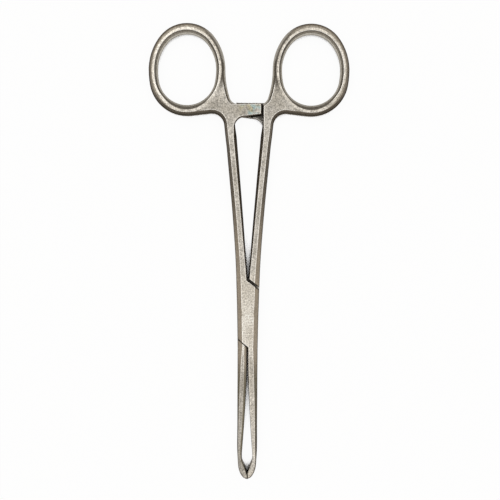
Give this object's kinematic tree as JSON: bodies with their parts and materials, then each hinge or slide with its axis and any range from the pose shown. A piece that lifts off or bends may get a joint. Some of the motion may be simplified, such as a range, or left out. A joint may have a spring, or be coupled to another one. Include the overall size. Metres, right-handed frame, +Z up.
{
  "type": "allis tissue forceps",
  "caption": "Box-lock tissue forceps with oval finger rings, a ratchet lock, slim outswept shanks and interlocking toothed grasping tips.",
  "frame": {"origin": "on the pivot axis, at the underside of the box, where the instrument lies on a table", "axes": "+Y along the instrument from the pivot to the finger rings, +Z up through the thickness, so the halves open in the XY plane"},
  "size_m": [0.0686, 0.1549, 0.005],
  "materials": {
    "satin_steel": "satin"
  },
  "bodies": {
    "box_side": {"box_half": "satin_steel", "pivot_pin": "satin_steel"},
    "tongue_side": {"tongue_half": "satin_steel"}
  },
  "joints": [
    {"name": "pivot", "type": "hinge", "parent": "box_side", "child": "tongue_side", "pos_m": [0, 0, 0.0025], "axis": [0, 0, -1], "range_deg": [0, 60]}
  ]
}
